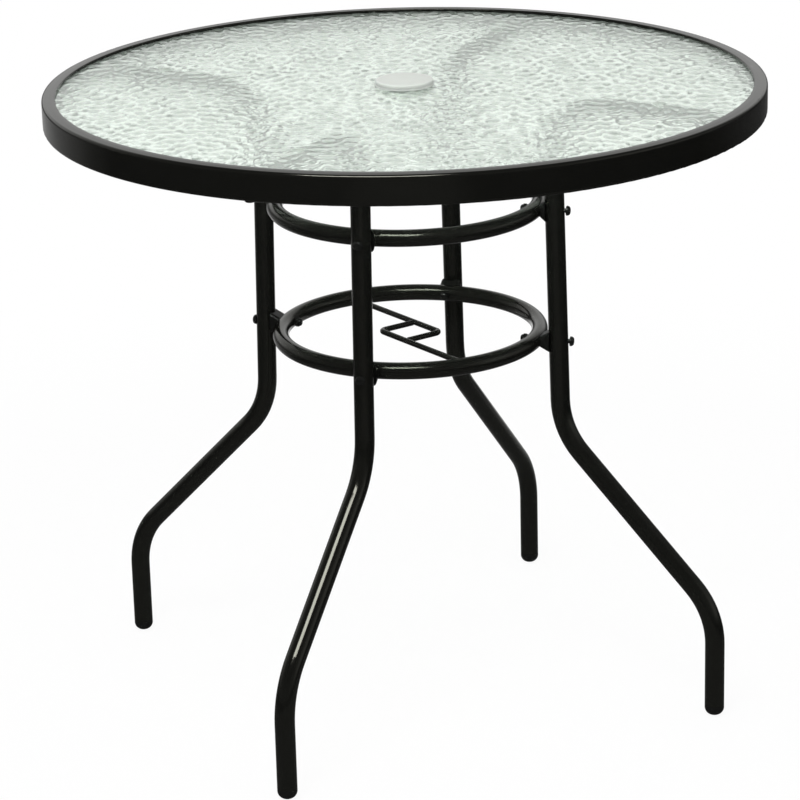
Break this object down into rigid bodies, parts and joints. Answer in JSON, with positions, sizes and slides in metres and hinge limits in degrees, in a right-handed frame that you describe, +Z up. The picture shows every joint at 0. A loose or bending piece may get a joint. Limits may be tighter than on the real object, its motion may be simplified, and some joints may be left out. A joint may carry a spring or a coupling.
{
  "type": "umbrella table",
  "caption": "Round patio table with a rippled glass top in a steel rim, a capped umbrella hole, bent tube legs tied by two rings, and rods that steady the pole.",
  "frame": {"origin": "on the floor under the centre of the top", "axes": "+Z up, the four uprights stand towards +X, +Y, -X and -Y, the pictured front leg is the one towards -Y"},
  "size_m": [0.8, 0.8, 0.7126],
  "materials": {
    "black_frame": "glossy black powder coat on steel tube and strip",
    "rippled_glass": "clear tempered glass with a water-ripple face",
    "clear_pad": "clear soft bumper",
    "soft_channel": "dull black soft channel",
    "hub_plastic": "pale grey satin plastic",
    "foot_plastic": "satin black moulded plastic",
    "saddle_plastic": "satin black moulded plastic",
    "fastener": "black coated steel"
  },
  "bodies": {
    "table": {"foot_cap_back": "foot_plastic", "foot_cap_front": "foot_plastic", "foot_cap_left": "foot_plastic", "foot_cap_right": "foot_plastic", "glass_gasket": "soft_channel", "glass_pad_back": "clear_pad", "glass_pad_front": "clear_pad", "glass_pad_left": "clear_pad", "glass_pad_right": "clear_pad", "glass_top": "rippled_glass", "leg_back": "black_frame", "leg_front": "black_frame", "leg_left": "black_frame", "leg_right": "black_frame", "lower_ring": "black_frame", "lower_ring_bolts": "fastener", "lower_ring_nuts": "fastener", "lower_saddle_back": "saddle_plastic", "lower_saddle_front": "saddle_plastic", "lower_saddle_left": "saddle_plastic", "lower_saddle_right": "saddle_plastic", "pole_rod_one": "black_frame", "pole_rod_two": "black_frame", "rim_bolts": "fastener", "rim_nuts": "fastener", "top_rim": "black_frame", "umbrella_collar": "hub_plastic", "upper_ring": "black_frame", "upper_ring_bolts": "fastener", "upper_ring_nuts": "fastener", "upper_saddle_back": "saddle_plastic", "upper_saddle_front": "saddle_plastic", "upper_saddle_left": "saddle_plastic", "upper_saddle_right": "saddle_plastic"},
    "cap": {"umbrella_hole_cap": "hub_plastic"}
  },
  "joints": [
    {"name": "cap_lift", "type": "slide", "parent": "table", "child": "cap", "axis": [0, 0, 1], "range_m": [0, 0.05]}
  ]
}
